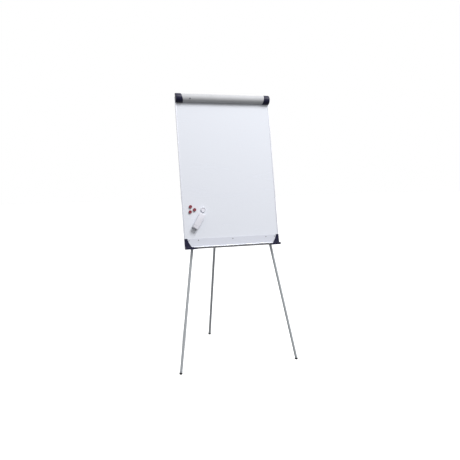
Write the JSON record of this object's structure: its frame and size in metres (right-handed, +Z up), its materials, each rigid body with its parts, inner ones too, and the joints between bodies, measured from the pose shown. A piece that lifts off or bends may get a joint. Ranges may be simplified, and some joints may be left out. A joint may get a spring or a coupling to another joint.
{
  "type": "flipchart easel",
  "caption": "Tripod flipchart easel: tilted white magnetic board with a sprung pad clamp, pen tray, telescopic folding legs, magnets and an eraser.",
  "frame": {"origin": "on the floor, at the middle of the box round the three feet", "axes": "+X to the right of someone facing the board, +Y towards the back leg, +Z up"},
  "size_m": [0.8772, 0.7593, 1.8851],
  "materials": {
    "white_enamel": "smooth gloss white lacquered steel writing surface",
    "core_board": "brown paper honeycomb core",
    "zinc_sheet": "thin zinc-coated backing sheet",
    "frame_anodised": "satin anodised edge channel",
    "clamp_anodised": "satin anodised extrusion",
    "mill_aluminium": "plain extruded rail",
    "tray_enamel": "smooth pale grey coated sheet",
    "trim_grey": "dark grey push-on edging",
    "navy_plastic": "near-black navy moulded plastic, fine texture",
    "black_plastic": "black moulded plastic, fine texture",
    "black_steel": "black powder-coated steel",
    "leg_grey": "silver-grey anodised tube",
    "zinc_steel": "zinc-plated steel",
    "black_rubber": "matt black rubber",
    "red_plastic": "crimson glossy plastic",
    "white_plastic": "white moulded plastic",
    "grey_felt": "dense grey felt"
  },
  "bodies": {
    "board": {"board_face": "white_enamel", "board_core": "core_board", "board_back": "zinc_sheet", "frame_left": "frame_anodised", "frame_right": "frame_anodised", "frame_bottom": "frame_anodised", "frame_top": "frame_anodised", "clamp_rail": "mill_aluminium", "clamp_hinge_rod": "zinc_steel", "clamp_spring_left": "zinc_steel", "clamp_spring_right": "zinc_steel", "pen_tray": "tray_enamel", "tray_lip_trim": "trim_grey", "tray_corner_left": "navy_plastic", "tray_corner_right": "navy_plastic", "tray_screw_1": "zinc_steel", "tray_screw_2": "zinc_steel", "tray_screw_3": "zinc_steel", "tray_screw_4": "zinc_steel", "tray_screw_5": "zinc_steel", "tripod_head": "black_steel", "rear_pin": "zinc_steel", "leg_bolt_left": "zinc_steel", "leg_bolt_right": "zinc_steel", "head_screw_left": "zinc_steel", "head_screw_right": "zinc_steel", "leg_guide_left": "black_steel", "leg_guide_right": "black_steel"},
    "clamp": {"clamp_bar": "clamp_anodised", "clamp_cap_left": "navy_plastic", "clamp_cap_right": "navy_plastic", "clamp_grip": "black_rubber", "clamp_rivet": "navy_plastic"},
    "hook_left": {"pad_hook_left": "navy_plastic"},
    "hook_right": {"pad_hook_right": "navy_plastic"},
    "red_magnet_upper": {"magnet_red_upper": "red_plastic"},
    "red_magnet_right": {"magnet_red_right": "red_plastic"},
    "red_magnet_lower": {"magnet_red_lower": "red_plastic"},
    "white_magnet": {"magnet_white": "white_plastic"},
    "eraser": {"eraser_shell": "white_plastic", "eraser_felt": "grey_felt"},
    "leg_left": {"leg_pivot_left": "black_plastic", "upper_tube_left": "leg_grey", "leg_collar_left": "black_plastic"},
    "knob_left": {"leg_knob_left": "black_plastic"},
    "lower_leg_left": {"lower_tube_left": "leg_grey", "foot_left": "black_rubber"},
    "leg_right": {"leg_pivot_right": "black_plastic", "upper_tube_right": "leg_grey", "leg_collar_right": "black_plastic"},
    "knob_right": {"leg_knob_right": "black_plastic"},
    "lower_leg_right": {"lower_tube_right": "leg_grey", "foot_right": "black_rubber"},
    "leg_rear": {"leg_pivot_rear": "black_plastic", "upper_tube_rear": "leg_grey", "leg_collar_rear": "black_plastic"},
    "knob_rear": {"leg_knob_rear": "black_plastic"},
    "lower_leg_rear": {"lower_tube_rear": "leg_grey", "foot_rear": "black_rubber"}
  },
  "joints": [
    {"name": "clamp_hinge", "type": "hinge", "parent": "board", "child": "clamp", "pos_m": [0, 0.0158, 1.87177], "axis": [-1, 0, 0], "range_deg": [0, 35], "stiffness_Nm_per_rad": 0.8, "springref_deg": -28.65},
    {"name": "hook_left_slide", "type": "slide", "parent": "board", "child": "hook_left", "axis": [1, 0, 0], "range_m": [-0.145, 0.12]},
    {"name": "hook_right_slide", "type": "slide", "parent": "board", "child": "hook_right", "axis": [1, 0, 0], "range_m": [-0.12, 0.145]},
    {"name": "leg_left_splay", "type": "hinge", "parent": "board", "child": "leg_left", "pos_m": [-0.135, 0.02838, 1.75973], "axis": [0, -0.9753, 0.2207], "range_deg": [0, 9.24]},
    {"name": "leg_right_splay", "type": "hinge", "parent": "board", "child": "leg_right", "pos_m": [0.135, 0.02838, 1.75973], "axis": [0, 0.9753, -0.2207], "range_deg": [0, 9.24]},
    {"name": "leg_rear_fold", "type": "hinge", "parent": "board", "child": "leg_rear", "pos_m": [0, 0.037, 1.74342], "axis": [-1, 0, 0], "range_deg": [0, 23.5]},
    {"name": "leg_left_telescope", "type": "slide", "parent": "leg_left", "child": "lower_leg_left", "axis": [0.1606, 0.2178, 0.9627], "range_m": [0, 0.72]},
    {"name": "knob_left_turn", "type": "hinge", "parent": "leg_left", "child": "knob_left", "pos_m": [-0.27759, -0.14428, 0.90016], "axis": [0, 0.9753, -0.2207], "range_deg": [0, 360]},
    {"name": "leg_right_telescope", "type": "slide", "parent": "leg_right", "child": "lower_leg_right", "axis": [-0.1606, 0.2178, 0.9627], "range_m": [0, 0.72]},
    {"name": "knob_right_turn", "type": "hinge", "parent": "leg_right", "child": "knob_right", "pos_m": [0.27759, -0.14428, 0.90016], "axis": [0, 0.9753, -0.2207], "range_deg": [0, 360]},
    {"name": "leg_rear_telescope", "type": "slide", "parent": "leg_rear", "child": "lower_leg_rear", "axis": [0, -0.1874, 0.9823], "range_m": [0, 0.72]},
    {"name": "knob_rear_turn", "type": "hinge", "parent": "leg_rear", "child": "knob_rear", "pos_m": [0, 0.22431, 0.87514], "axis": [0, 0.9823, 0.1874], "range_deg": [0, 360]},
    {"name": "red_magnet_upper_lift", "type": "slide", "parent": "board", "child": "red_magnet_upper", "axis": [0, -0.9753, 0.2207], "range_m": [0, 0.1]},
    {"name": "red_magnet_right_lift", "type": "slide", "parent": "board", "child": "red_magnet_right", "axis": [0, -0.9753, 0.2207], "range_m": [0, 0.1]},
    {"name": "red_magnet_lower_lift", "type": "slide", "parent": "board", "child": "red_magnet_lower", "axis": [0, -0.9753, 0.2207], "range_m": [0, 0.1]},
    {"name": "white_magnet_lift", "type": "slide", "parent": "board", "child": "white_magnet", "axis": [0, -0.9753, 0.2207], "range_m": [0, 0.1]},
    {"name": "eraser_lift", "type": "slide", "parent": "board", "child": "eraser", "axis": [0, -0.9753, 0.2207], "range_m": [0, 0.1]}
  ]
}
